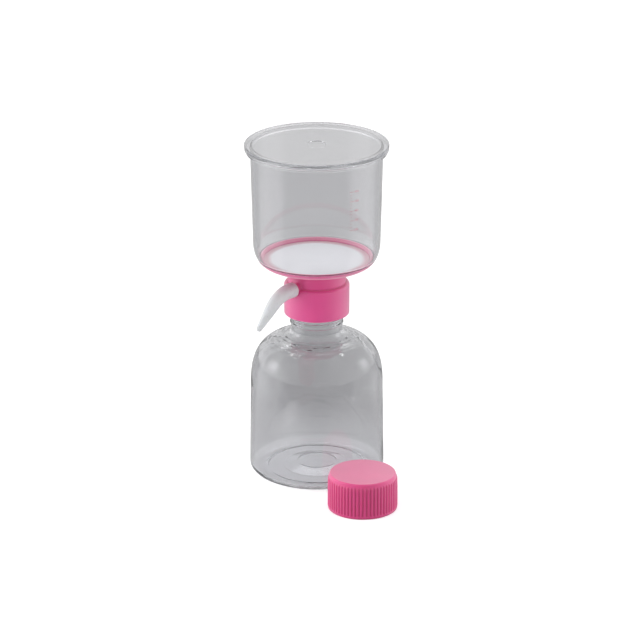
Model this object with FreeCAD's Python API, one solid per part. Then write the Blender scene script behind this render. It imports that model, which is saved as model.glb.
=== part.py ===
import FreeCAD, Part
import math
import os

# Vacuum filtration unit: a clear funnel with a lid, welded to a moulded filter
# base that screws onto the neck of a clear receiver bottle.  A curved nozzle
# for a vacuum hose turns on the base's side port, and the bottle's own storage
# cap stands beside it.
# Millimetres.  Origin: centre of the bottle's foot on the bench.  +Z up,
# +X to the right and -Y to the front.

V = FreeCAD.Vector
os.makedirs("parts", exist_ok=True)

# ---------------------------------------------------------------- dimensions
# receiver bottle
FOOT_IN_R, FOOT_OUT_R = 41.8, 43.8      # flat ring that the bottle stands on
BODY_R, BODY_TOP_R = 53.0, 52.15        # foot of the side wall, top of it
BODY_Z0, BODY_Z1 = 7.5, 66.0
WALL = 1.2                              # bottle wall
SH_Z, SH_Z0 = 113.07, 68.16             # shoulder: top and springing heights
SH_R0, SH_R1 = 20.43, 52.08             # shoulder: inner and outer radii
SH_N, SH_M = 2.248, 3.157               # shoulder: superellipse exponents
NECK_R, NECK_BORE_R = 20.1, 17.9
MOUTH_Z = 152.5
NECK_RING_R, NECK_RINGS_Z = 20.95, (124.4, 128.8)   # low beads under the thread
ROOT_R, ROOT_Z, ROOT_SLOPE = 27.6, 112.56, 0.16   # where the neck's root fillet starts
ROOT_H = 7.2                            # height of that fillet above the shoulder

# thread shared by the bottle, the filter base and the cap
PITCH = 4.0
THREAD_R = 22.0                         # crest of the bottle's thread
THREAD_TURNS = 1.25
THREAD_Z = MOUTH_Z - 9.2                # height at which the ridge starts
SOCKET_R = 22.6                         # bore of the collar and of the cap
SOCKET_CREST_R = 20.95                  # crest of their inner thread

# filter base
PLATE_Z = 172.8                         # flat underside of the plate
CORNER_R, CORNER_H, CORNER_FLAT_R = 10.45, 17.8, 39.2   # dish corner ellipse
SEAM_Z = 177.6                          # weld line between base and funnel
RING_IN_R = 41.8                        # step down to the membrane
RIM_R, RIM_Z = 44.15, 179.0             # rim that stands round the membrane
MEMBRANE_SEAT_Z = 175.9
DISH_Z = 175.15                         # edge of the drain dish
NECK2_R, NECK2_BORE_R = 22.8, 18.4      # stem between plate and collar
COLLAR_R, COLLAR_Z0, COLLAR_Z1 = 25.7, 131.7, 157.6
COLLAR_ROUND = 2.8                      # rounding of the collar's top rim
SEAT_Z = 154.5                          # face that presses the gasket
SPOUT_R, SPOUT_BORE_R, SPOUT_Z = 7.2, 5.4, 141.0

# vacuum port, and the nozzle that turns on it
PORT_ANGLE = 42.0                       # degrees from the front, to the left
PORT_Z = 157.6
BOSS_R, BOSS_END = 4.4, 26.9
SPIGOT_R, SPIGOT_END, PORT_BORE_R = 3.10, 34.4, 2.0
NOZ_CLEAR = 0.05                        # running clearance on the spigot
NOZ_START, NOZ_STRAIGHT_END = 27.2, 32.4
NOZ_BEND_R, NOZ_BEND_DEG, NOZ_TIP_LEN = 27.7, 43.4, 22.4

# funnel and lid
FUN_WALL = 1.6
FUN_R_TOP, FUN_R_LOW, FUN_LOW_Z = 51.5, 49.65, 190.6
FUN_TOP_Z = 267.2
FLANGE_R, FLANGE_Z0, FLANGE_Z1 = 54.9, 263.9, 265.6
LID_R, LID_TOP_Z, LID_SKIRT_Z = 56.2, 270.2, 266.0

# storage cap
CAP_X, CAP_Y = 35.5, -78.5
CAP_H, CAP_R, CAP_TOP_R = 28.7, 27.2, 25.2
CAP_RIBS, RIB_DEPTH = 60, 0.7
CAP_CEIL = 27.0                         # underside of the cap's top wall


# ------------------------------------------------------------------ helpers
class Profile:
    """A closed outline in the (radius, height) half plane, made of lines,
    arcs, Bezier corners and interpolated curves."""

    def __init__(self, r, z):
        self.p = (r, z)
        self.start = (r, z)
        self.edges = []

    @staticmethod
    def v(p):
        return V(p[0], 0, p[1])

    def line(self, r, z):
        if math.hypot(r - self.p[0], z - self.p[1]) > 1e-7:
            self.edges.append(Part.LineSegment(self.v(self.p), self.v((r, z))).toShape())
        self.p = (r, z)
        return self

    def corner(self, c, end, k=0.5523):
        """Quarter-ellipse-like corner that rounds the point c and ends at end."""
        a, b = self.p, end
        p1 = (a[0] + k * (c[0] - a[0]), a[1] + k * (c[1] - a[1]))
        p2 = (b[0] + k * (c[0] - b[0]), b[1] + k * (c[1] - b[1]))
        bz = Part.BezierCurve()
        bz.setPoles([self.v(a), self.v(p1), self.v(p2), self.v(b)])
        self.edges.append(bz.toShape())
        self.p = end
        return self

    def curve(self, pts, t0, t1):
        """Interpolated curve through pts, with end directions t0 and t1."""
        bs = Part.BSplineCurve()
        allp = [self.v(self.p)] + [self.v(q) for q in pts]
        bs.interpolate(Points=allp, InitialTangent=V(t0[0], 0, t0[1]),
                       FinalTangent=V(t1[0], 0, t1[1]))
        self.edges.append(bs.toShape())
        self.p = pts[-1]
        return self

    def path(self, pts):
        """Straight runs through (r, z) or (r, z, fillet) points."""
        n = len(pts)
        for i, q in enumerate(pts):
            if len(q) == 2 or i == n - 1:
                self.line(q[0], q[1])
                continue
            f = q[2]
            a, b = self.p, pts[i + 1]
            ua = (a[0] - q[0], a[1] - q[1])
            ub = (b[0] - q[0], b[1] - q[1])
            la, lb = math.hypot(*ua), math.hypot(*ub)
            ua = (ua[0] / la, ua[1] / la)
            ub = (ub[0] / lb, ub[1] / lb)
            cosang = max(-1.0, min(1.0, ua[0] * ub[0] + ua[1] * ub[1]))
            half = math.acos(cosang) / 2
            d = f / math.tan(half)
            t1 = (q[0] + ua[0] * d, q[1] + ua[1] * d)
            t2 = (q[0] + ub[0] * d, q[1] + ub[1] * d)
            bis = (ua[0] + ub[0], ua[1] + ub[1])
            lbis = math.hypot(*bis)
            h = f / math.sin(half)
            c = (q[0] + bis[0] / lbis * h, q[1] + bis[1] / lbis * h)
            m = (c[0] + (q[0] - c[0]) / h * f, c[1] + (q[1] - c[1]) / h * f)
            self.line(*t1)
            self.edges.append(Part.Arc(self.v(t1), self.v(m), self.v(t2)).toShape())
            self.p = t2
        return self

    def solid(self):
        self.line(*self.start)
        wire = Part.Wire(Part.__sortEdges__(self.edges))
        face = Part.Face(wire)
        s = face.revolve(V(0, 0, 0), V(0, 0, 1), 360)
        return s if s.Volume > 0 else s.reversed()


def ring(r_in, r_out, z0, z1):
    a = Part.makeCylinder(r_out, z1 - z0, V(0, 0, z0))
    if r_in <= 0:
        return a
    return a.cut(Part.makeCylinder(r_in, z1 - z0 + 2, V(0, 0, z0 - 1)))


def thread(root_r, crest_r, root_w, crest_w, z0, turns, start_deg=0.0):
    """Right-hand ridge, of trapezoid section, from root_r to crest_r.  It
    starts at height z0 and fades in and out over its end faces."""
    helix = Part.makeHelix(PITCH, PITCH * turns, root_r)
    helix.translate(V(0, 0, z0))
    pts = [V(root_r, 0, z0 - root_w / 2), V(crest_r, 0, z0 - crest_w / 2),
           V(crest_r, 0, z0 + crest_w / 2), V(root_r, 0, z0 + root_w / 2)]
    sect = Part.makePolygon(pts + [pts[0]])
    ridge = Part.Wire(helix).makePipeShell([sect], True, True)
    if ridge.Volume < 0:
        ridge = ridge.reversed()
    ridge.rotate(V(0, 0, 0), V(0, 0, 1), start_deg)
    return ridge


def offset_points(pts, d):
    """Points moved by d to the left of the direction in which they run."""
    out = []
    for i in range(len(pts)):
        a = pts[max(i - 1, 0)]
        b = pts[min(i + 1, len(pts) - 1)]
        dx, dz = b[0] - a[0], b[1] - a[1]
        n = math.hypot(dx, dz)
        out.append((pts[i][0] - dz / n * d, pts[i][1] + dx / n * d))
    return out


def one(shape, name):
    """The single solid of a shape, refined, or an error that names it."""
    s = shape.removeSplitter()
    sol = s.Solids
    if len(sol) != 1:
        raise RuntimeError("%s has %d solids" % (name, len(sol)))
    return sol[0]


# ---------------------------------------------------------- receiver bottle
def shoulder(n=15):
    """Shoulder curve from the side wall up to the foot of the neck."""
    pts = []
    for i in range(n + 1):
        t = math.radians(90.0 - 90.0 * i / n)
        s, c = math.sin(t), math.cos(t)
        r = SH_R0 + (SH_R1 - SH_R0) * abs(s) ** (2 / SH_N)
        z = SH_Z0 + (SH_Z - SH_Z0) * abs(c) ** (2 / SH_M)
        pts.append((r, z))
    keep = [p for p in pts if p[0] > ROOT_R + 0.8 and p[1] > SH_Z0 + 1.0]
    return keep


def bottle():
    sh = shoulder()
    foot_z = 0.0
    p = Profile(0, 4.6)
    # push-up under the bottle with its conical ring, then the foot ring
    p.path([(15.0, 4.6, 3.0), (25.5, 2.0, 3.0), (38.0, 1.5, 1.5),
            (FOOT_IN_R - 0.6, foot_z + 0.05, 0.6), (FOOT_IN_R + 0.6, foot_z)])
    p.line(FOOT_OUT_R, foot_z)
    p.corner((BODY_R, foot_z), (BODY_R, BODY_Z0))
    p.line(BODY_TOP_R, BODY_Z1)
    up = (BODY_TOP_R - BODY_R, BODY_Z1 - BODY_Z0)
    nrm = math.hypot(*up)
    top = (ROOT_R, ROOT_Z)
    p.curve(sh + [top], (up[0] / nrm, up[1] / nrm), (-1, ROOT_SLOPE))
    # root fillet, neck with its two beads, and the lip
    p.corner((NECK_R, ROOT_Z + ROOT_SLOPE * (ROOT_R - NECK_R)), (NECK_R, SH_Z + ROOT_H))
    for z in NECK_RINGS_Z:
        p.path([(NECK_R, z - 1.3, 0.5), (NECK_RING_R, z - 0.5, 0.3),
                (NECK_RING_R, z + 0.5, 0.3), (NECK_R, z + 1.3, 0.5), (NECK_R, z + 1.6)])
    p.path([(NECK_R, MOUTH_Z, 0.6), (NECK_BORE_R, MOUTH_Z, 0.6), (NECK_BORE_R, MOUTH_Z - 4)])
    # inside, from the lip down
    p.line(NECK_BORE_R, SH_Z + 5.2)
    inner = offset_points([(BODY_TOP_R, BODY_Z1)] + sh + [top], WALL)
    inner_top = (ROOT_R - ROOT_SLOPE * WALL, ROOT_Z - WALL)
    inner = [q for q in inner[1:] if q[0] > inner_top[0] + 0.8]
    p.corner((NECK_BORE_R, inner_top[1] + ROOT_SLOPE * (inner_top[0] - NECK_BORE_R)), inner_top)
    pts = list(reversed(inner)) + [(BODY_TOP_R - WALL, BODY_Z1)]
    p.curve(pts, (1, -ROOT_SLOPE), (-up[0] / nrm, -up[1] / nrm))
    p.line(BODY_R - WALL, BODY_Z0 + 0.3)
    p.corner((BODY_R - WALL, 1.75), (BODY_R - WALL - 8.0, 1.75))
    p.path([(42.0, 1.75, 0.8), (38.6, 3.2, 1.5), (26.5, 3.7, 3.0), (15.5, 6.4, 3.0), (0, 6.4)])
    body = p.solid()
    ridge = thread(NECK_R - 0.9, THREAD_R, 2.6, 1.0, THREAD_Z, THREAD_TURNS, 200)
    return one(body.fuse(ridge), "receiver_bottle")


# -------------------------------------------------------------- filter base
def corner_r(z, off=0.0):
    """Outer radius of the dish corner at height z, moved inwards by off."""
    k = (PLATE_Z + CORNER_H - z) / CORNER_H
    k = max(0.0, min(1.0, k))
    return CORNER_FLAT_R + CORNER_R * math.sqrt(1 - k * k) - off


def corner_pts(z0, z1, n, off=0.0):
    """Points of the corner ellipse between two heights, offset inwards."""
    a0 = math.asin(max(-1.0, min(1.0, (PLATE_Z + CORNER_H - z0) / CORNER_H)))
    a1 = math.asin(max(-1.0, min(1.0, (PLATE_Z + CORNER_H - z1) / CORNER_H)))
    pts = []
    for i in range(n + 1):
        a = a0 + (a1 - a0) * i / n
        r = CORNER_FLAT_R + CORNER_R * math.cos(a)
        z = PLATE_Z + CORNER_H * (1 - math.sin(a))
        nr, nz = math.cos(a) / CORNER_R, -math.sin(a) / CORNER_H
        m = math.hypot(nr, nz)
        pts.append((r - nr / m * off, z - nz / m * off))
    return pts


def port_frame(shape):
    """Turns a shape built along +X at the height 0 into the port's frame."""
    shape.rotate(V(0, 0, 0), V(0, 0, 1), 270.0 - PORT_ANGLE)
    shape.translate(V(0, 0, PORT_Z))
    return shape


def x_cyl(r, x0, x1):
    return Part.makeCylinder(r, x1 - x0, V(x0, 0, 0), V(1, 0, 0))


def filter_base():
    seam_r = corner_r(SEAM_Z)
    # plate, dish, stem, collar and outlet, turned as one outline
    p = Profile(SPOUT_BORE_R, 171.2)
    p.line(SPOUT_BORE_R - 0.5, SPOUT_Z + 0.2)
    p.path([(SPOUT_BORE_R - 0.5, SPOUT_Z, 0.05), (SPOUT_R - 0.5, SPOUT_Z, 0.4), (SPOUT_R, 169.9, 1.2),
            (NECK2_BORE_R - 0.5, 170.6, 1.5), (NECK2_BORE_R, SEAT_Z, 0.05),
            (SOCKET_R, SEAT_Z, 0.5), (SOCKET_R, COLLAR_Z0 + 1.0, 0.2), (SOCKET_R + 0.8, COLLAR_Z0, 0.05),
            (COLLAR_R - 0.1, COLLAR_Z0, 0.9), (COLLAR_R, COLLAR_Z1, COLLAR_ROUND),
            (NECK2_R, COLLAR_Z1 + 0.1), (NECK2_R - 0.1, PLATE_Z, 1.2), (CORNER_FLAT_R - 6, PLATE_Z)])
    p.line(CORNER_FLAT_R, PLATE_Z)
    pts = corner_pts(PLATE_Z, SEAM_Z, 8)
    a1 = pts[-1]
    b1 = pts[-2]
    p.curve(pts[1:], (1, 0), (a1[0] - b1[0], a1[1] - b1[1]))
    # top ring with the weld groove, step down to the membrane seat, drain dish
    p.path([(45.85, SEAM_Z), (45.75, SEAM_Z - 1.05), (44.95, SEAM_Z - 1.05), (44.85, SEAM_Z),
            (RIM_R, SEAM_Z), (RIM_R, RIM_Z, 0.35), (RING_IN_R + 1.0, RIM_Z, 0.5), (RING_IN_R, MEMBRANE_SEAT_Z + 0.4),
            (RING_IN_R, MEMBRANE_SEAT_Z), (40.2, MEMBRANE_SEAT_Z, 0.2), (40.1, DISH_Z, 0.2),
            (19.0, DISH_Z - 0.2, 6.0), (SPOUT_BORE_R + 1.2, 172.4, 0.6), (SPOUT_BORE_R, 171.2)])
    base = p.solid()
    # support for the membrane: radial ribs and rings standing in the drain dish
    dish = Profile(6.8, 171.9)
    dish.path([(19.0, DISH_Z - 0.75), (40.6, DISH_Z - 0.55), (40.6, MEMBRANE_SEAT_Z - 0.02), (6.8, MEMBRANE_SEAT_Z - 0.02)])
    zone = dish.solid()
    grid = []
    for i in range(36):
        a = 10.0 * i
        r0 = 6.8 if i % 3 == 0 else 15.0
        w = 0.9
        b = Part.makeBox(40.4 - r0, w, 5.4, V(r0, -w / 2, 170.9))
        b.rotate(V(0, 0, 0), V(0, 0, 1), a)
        grid.append(b)
    web = grid[0].multiFuse(grid[1:])
    web = web.common(zone)
    base = base.fuse(web)
    # boss and spigot of the vacuum port
    boss = port_frame(x_cyl(BOSS_R, 19.0, BOSS_END))
    spig = x_cyl(SPIGOT_R, BOSS_END - 1.0, SPIGOT_END)
    spig = spig.makeChamfer(0.3, [e for e in spig.Edges if abs(e.CenterOfMass.x - SPIGOT_END) < 1e-3])
    spig = port_frame(spig)
    base = base.fuse(boss).fuse(spig)
    bore = port_frame(x_cyl(PORT_BORE_R, 12.0, SPIGOT_END + 1))
    # keep the stem's inside and the gasket seat clear of the boss
    keep = Part.makeCylinder(NECK2_BORE_R, 14.0, V(0, 0, SEAT_Z))
    keep = keep.cut(Part.makeCylinder(SPOUT_R + 0.5, 20, V(0, 0, SEAT_Z - 1)))
    low = ring(0, SOCKET_R, COLLAR_Z0 + 2, SEAT_Z).cut(Part.makeCylinder(SPOUT_R + 0.5, 40, V(0, 0, COLLAR_Z0)))
    base = base.cut(keep).cut(low).cut(bore)
    # inner thread, half a pitch below the bottle's ridge
    ridge = thread(SOCKET_R + 0.9, SOCKET_CREST_R, 2.5, 0.9, THREAD_Z - PITCH / 2, THREAD_TURNS, 200)
    return one(base.fuse(ridge), "filter_base")


def port_plug():
    """Fibre plug held in the bore of the vacuum port."""
    s = x_cyl(PORT_BORE_R - 0.01, 23.0, 33.0)
    s = s.makeFillet(0.35, [e for e in s.Edges if abs(e.Length - 2 * math.pi * (PORT_BORE_R - 0.01)) < 1e-3])
    return one(port_frame(s), "port_filter_plug")


def neck_gasket():
    """Flat ring between the bottle's lip and the seat in the collar."""
    p = Profile(NECK_BORE_R + 0.2, MOUTH_Z + 0.02)
    p.path([(SOCKET_R - 0.35, MOUTH_Z + 0.02, 0.3), (SOCKET_R - 0.35, SEAT_Z - 0.02, 0.3),
            (NECK_BORE_R + 0.2, SEAT_Z - 0.02, 0.3), (NECK_BORE_R + 0.2, MOUTH_Z + 0.4)])
    return one(p.solid(), "neck_gasket")


def membrane():
    """Filter disc, bonded by its border to the seat in the base."""
    return one(ring(0, RING_IN_R - 0.25, MEMBRANE_SEAT_Z, MEMBRANE_SEAT_Z + 0.3), "filter_membrane")


# ------------------------------------------------------------------- nozzle
def nozzle_line(s):
    """Point and direction on the nozzle's centreline, s mm from its foot, in
    the port's frame: x outwards, z up from the port's axis."""
    l1 = NOZ_STRAIGHT_END - NOZ_START
    l2 = math.radians(NOZ_BEND_DEG) * NOZ_BEND_R
    if s <= l1:
        return (NOZ_START + s, 0.0), 0.0
    if s <= l1 + l2:
        a = (s - l1) / NOZ_BEND_R
        return (NOZ_STRAIGHT_END + NOZ_BEND_R * math.sin(a), -NOZ_BEND_R * (1 - math.cos(a))), a
    a = math.radians(NOZ_BEND_DEG)
    d = s - l1 - l2
    return (NOZ_STRAIGHT_END + NOZ_BEND_R * math.sin(a) + d * math.cos(a),
            -NOZ_BEND_R * (1 - math.cos(a)) - d * math.sin(a)), a


def nozzle_loft(stations):
    wires = []
    for s, r in stations:
        (x, z), a = nozzle_line(s)
        c = Part.Circle(V(0, 0, 0), V(0, 0, 1), r)
        w = Part.Wire([c.toShape()])
        # local X to +Y, local Y in the bend's plane, local Z along the line
        d = V(math.cos(a), 0, -math.sin(a))
        u = V(0, 1, 0)
        v = d.cross(u)
        w.Placement = FreeCAD.Placement(FreeCAD.Matrix(
            u.x, v.x, d.x, x, u.y, v.y, d.y, 0, u.z, v.z, d.z, z, 0, 0, 0, 1))
        wires.append(w)
    return Part.makeLoft(wires, True, False)


def hose_nozzle():
    l1 = NOZ_STRAIGHT_END - NOZ_START
    l2 = math.radians(NOZ_BEND_DEG) * NOZ_BEND_R
    end = l1 + l2 + NOZ_TIP_LEN
    outer = nozzle_loft([(0.0, 5.6), (0.35, 5.9), (0.9, 6.03), (3.5, 6.0), (l1, 5.95), (12.0, 5.7), (19.4, 5.3),
                         (27.5, 4.7), (34.0, 3.98), (40.0, 3.2), (45.0, 2.45), (end - 1.6, 2.1),
                         (end - 0.7, 1.9), (end - 0.2, 1.6), (end, 1.3)])
    bore = nozzle_loft([(SPIGOT_END - NOZ_START + 0.6, 2.6), (12.0, 2.4), (19.4, 2.1), (27.5, 1.8),
                        (34.0, 1.55), (40.0, 1.3), (end + 1.0, 0.95)])
    socket = x_cyl(SPIGOT_R + NOZ_CLEAR, NOZ_START - 1.0, SPIGOT_END + 0.8)
    s = outer.cut(bore).cut(socket)
    return one(port_frame(s), "hose_nozzle")


# ----------------------------------------------------------- funnel and lid
def funnel():
    inner_low = corner_pts(SEAM_Z, PLATE_Z + CORNER_H, 10, FUN_WALL)
    outer_low = corner_pts(SEAM_Z, PLATE_Z + CORNER_H, 10)
    r_in_foot = 44.4
    p = Profile(r_in_foot, SEAM_Z)
    # weld tongue that stands in the base's groove
    p.path([(44.95, SEAM_Z), (45.05, SEAM_Z - 1.0), (45.65, SEAM_Z - 1.0), (45.75, SEAM_Z)])
    p.line(outer_low[0][0], SEAM_Z)
    up = (FUN_R_TOP - FUN_R_LOW, FUN_TOP_Z - FUN_LOW_Z)
    n = math.hypot(*up)
    t0 = (outer_low[1][0] - outer_low[0][0], outer_low[1][1] - outer_low[0][1])
    p.curve(outer_low[1:], t0, (up[0] / n, up[1] / n))

    def wall_r(z):
        return FUN_R_LOW + (z - FUN_LOW_Z) * up[0] / up[1]

    p.path([(wall_r(FLANGE_Z0), FLANGE_Z0, 0.6), (FLANGE_R, FLANGE_Z0, 0.5), (FLANGE_R, FLANGE_Z1, 0.4),
            (wall_r(FLANGE_Z1), FLANGE_Z1, 0.3), (wall_r(FUN_TOP_Z), FUN_TOP_Z, 0.4),
            (wall_r(FUN_TOP_Z) - FUN_WALL, FUN_TOP_Z, 0.4), (inner_low[-1][0], FUN_LOW_Z)])
    pts = list(reversed(inner_low))[1:]
    pts = [q for q in pts if q[1] > SEAM_Z + 2.6]
    # small cove where the wall meets the ring on the base
    last = (inner_low[1][0] - 0.15, SEAM_Z + 1.2)
    p.curve(pts + [last], (-up[0] / n, -up[1] / n), (-0.75, -0.66))
    p.line(r_in_foot, SEAM_Z + 0.35)
    return one(p.solid(), "funnel")


def funnel_lid():
    z_under = FUN_TOP_Z + 0.02
    # a flat plate that rests on the funnel's edge, with a skirt round its flange
    p = Profile(0, z_under)
    p.path([(54.8, z_under, 0.4), (55.0, LID_SKIRT_Z, 0.05), (LID_R - 0.25, LID_SKIRT_Z, 0.35), (LID_R, LID_TOP_Z, 0.9),
            (7.1, LID_TOP_Z, 0.3), (6.6, LID_TOP_Z - 0.5, 0.3), (0, LID_TOP_Z - 0.5)])
    return one(p.solid(), "funnel_lid")


# -------------------------------------------------------------- storage cap
def storage_cap():
    rib_top, rib_low = 26.4, 2.2
    # ribbed barrel: trapezoid ribs round the whole skirt
    pts = []
    step = 360.0 / CAP_RIBS
    root = CAP_R - RIB_DEPTH
    for i in range(CAP_RIBS):
        a = i * step
        for da, r in ((-0.36 * step, root), (-0.16 * step, CAP_R), (0.16 * step, CAP_R), (0.36 * step, root)):
            t = math.radians(a + da)
            pts.append(V(r * math.cos(t), r * math.sin(t), rib_low - 0.6))
    wire = Part.makePolygon(pts + [pts[0]])
    barrel = Part.Face(wire).extrude(V(0, 0, rib_top + 1.0 - rib_low + 0.6))
    # the ribs fade into the smooth bands above and below along a cone
    env = Profile(0, 0)
    env.path([(CAP_R - 0.3, 0), (CAP_R + 0.1, rib_low, 0.2), (CAP_R - 0.05, 18.0), (CAP_R - 0.3, rib_top - 1.4, 0.8),
              (CAP_R - 1.6, rib_top + 0.4), (0, rib_top + 0.4)])
    barrel = barrel.common(env.solid())
    core = Profile(0, 0)
    core.path([(CAP_R - 0.4, 0, 0.3), (CAP_R - 0.1, 1.2, 0.4), (CAP_R - 0.1, rib_low - 0.2, 0.2), (root - 0.05, rib_low + 0.4),
               (root - 0.1, rib_top - 2.2, 1.0), (root - 0.4, rib_top, 1.2), (CAP_TOP_R + 0.6, CAP_H - 0.9, 0.9),
               (CAP_TOP_R, CAP_H, 0.8), (0, CAP_H)])
    s = core.solid().fuse(barrel)
    # inside: threaded skirt, ceiling, and the ring that plugs the bottle's neck
    hole = Profile(0, -1)
    hole.path([(SOCKET_R + 0.9, -1), (SOCKET_R + 0.9, 0), (SOCKET_R, 1.0), (SOCKET_R, CAP_CEIL, 0.6),
               (17.7, CAP_CEIL, 0.3), (17.4, 23.6, 0.5), (16.2, 23.6, 0.5), (15.9, CAP_CEIL, 0.5), (0, CAP_CEIL)])
    s = s.cut(hole.solid())
    ridge = thread(SOCKET_R + 0.9, SOCKET_CREST_R, 2.5, 0.9, CAP_CEIL - 11.2, THREAD_TURNS, 20)
    s = s.fuse(ridge)
    s = one(s, "storage_cap")
    s.translate(V(CAP_X, CAP_Y, 0))
    return s


# ----------------------------------------------------------------- the parts
NODES = {
    "receiver_bottle": bottle,
    "neck_gasket": neck_gasket,
    "filter_base": filter_base,
    "filter_membrane": membrane,
    "funnel": funnel,
    "funnel_lid": funnel_lid,
    "port_filter_plug": port_plug,
    "hose_nozzle": hose_nozzle,
    "storage_cap": storage_cap,
}

for name, make in NODES.items():
    shape = make()
    if not shape.isValid():
        raise RuntimeError(name + " is not valid")
    shape.exportStep("parts/%s.step" % name)
    b = shape.BoundBox
    print("%-18s %9.1f mm3  x %.2f..%.2f  y %.2f..%.2f  z %.2f..%.2f" % (
        name, shape.Volume, b.XMin, b.XMax, b.YMin, b.YMax, b.ZMin, b.ZMax))
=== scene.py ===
import math

import bpy
import numpy as np
from mathutils import Matrix, Vector


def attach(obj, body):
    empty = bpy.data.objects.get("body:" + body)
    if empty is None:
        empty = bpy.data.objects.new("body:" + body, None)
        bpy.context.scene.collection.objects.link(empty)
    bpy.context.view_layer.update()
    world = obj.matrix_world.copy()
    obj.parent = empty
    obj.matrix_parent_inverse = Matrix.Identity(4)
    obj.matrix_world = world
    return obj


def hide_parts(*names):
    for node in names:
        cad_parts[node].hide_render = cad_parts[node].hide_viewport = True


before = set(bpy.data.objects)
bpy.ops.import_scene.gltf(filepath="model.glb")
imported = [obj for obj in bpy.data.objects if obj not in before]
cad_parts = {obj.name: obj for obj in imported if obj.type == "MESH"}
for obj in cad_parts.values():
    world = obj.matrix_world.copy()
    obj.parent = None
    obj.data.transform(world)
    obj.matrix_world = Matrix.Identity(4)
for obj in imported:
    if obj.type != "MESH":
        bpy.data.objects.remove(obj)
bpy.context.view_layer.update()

MM = 0.001
SEED = 7

# Sizes of the construction model, in millimetres. Every visual piece below is
# turned, lofted or swept from the same outlines as the solid that it replaces.
FOOT_IN_R, FOOT_OUT_R = 41.8, 43.8
BODY_R, BODY_TOP_R, BODY_Z0, BODY_Z1 = 53.0, 52.15, 7.5, 66.0
WALL = 1.2
SH_Z, SH_Z0, SH_R0, SH_R1, SH_N, SH_M = 113.07, 68.16, 20.43, 52.08, 2.248, 3.157
NECK_R, NECK_BORE_R, MOUTH_Z = 20.1, 17.9, 152.5
NECK_RING_R, NECK_RINGS_Z = 20.95, (124.4, 128.8)
ROOT_R, ROOT_Z, ROOT_SLOPE, ROOT_H = 27.6, 112.56, 0.16, 7.2
PITCH, THREAD_R, THREAD_TURNS, THREAD_Z = 4.0, 22.0, 1.25, 143.3
SOCKET_R, SOCKET_CREST_R = 22.6, 20.95
PLATE_Z, CORNER_R, CORNER_H, CORNER_FLAT_R = 172.8, 10.45, 17.8, 39.2
SEAM_Z, RING_IN_R, SEAT_MEMBRANE_Z, DISH_Z = 177.6, 41.8, 175.9, 175.15
RIM_R, RIM_Z = 44.15, 179.0
NECK2_R, NECK2_BORE_R = 22.8, 18.4
COLLAR_R, COLLAR_Z0, COLLAR_Z1, COLLAR_ROUND, SEAT_Z = 25.7, 131.7, 157.6, 2.8, 154.5
SPOUT_R, SPOUT_BORE_R, SPOUT_Z = 7.2, 5.4, 141.0
PORT_ANGLE, PORT_Z, BOSS_R, BOSS_END = 42.0, 157.6, 4.4, 26.9
SPIGOT_R, SPIGOT_END, PORT_BORE_R = 3.10, 34.4, 2.0
NOZ_START, NOZ_STRAIGHT_END, NOZ_BEND_R, NOZ_BEND_DEG, NOZ_TIP_LEN = 27.2, 32.4, 27.7, 43.4, 22.4
FUN_WALL, FUN_R_TOP, FUN_R_LOW, FUN_LOW_Z, FUN_TOP_Z = 1.6, 51.5, 49.65, 190.6, 267.2
FLANGE_R, FLANGE_Z0, FLANGE_Z1 = 54.9, 263.9, 265.6
SCALE_DEG, SCALE_Z0, SCALE_Z1 = 30.0, 214.0, 245.0      # printed graduations
LID_R, LID_TOP_Z, LID_SKIRT_Z = 56.2, 270.2, 266.0
CAP_X, CAP_Y, CAP_H, CAP_R, CAP_TOP_R = 35.5, -78.5, 28.7, 27.2, 25.2
CAP_RIBS, RIB_DEPTH, CAP_CEIL = 60, 0.7, 27.0

SKY = {"left": 1.6, "right": 1.4, "front": 0.75, "back": 0.9, "top": 0.75}
# The last three floor values set painted shadow round the object, painted light under it and painted light at its
# sides
FLOOR_GREY, FLOOR_PAINTED_SHADOW, FLOOR_PAINTED_SIDE_LIGHT, FLOOR_PAINTED_POOL = 0.46, 0.67, 0.58, 1.55


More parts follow.
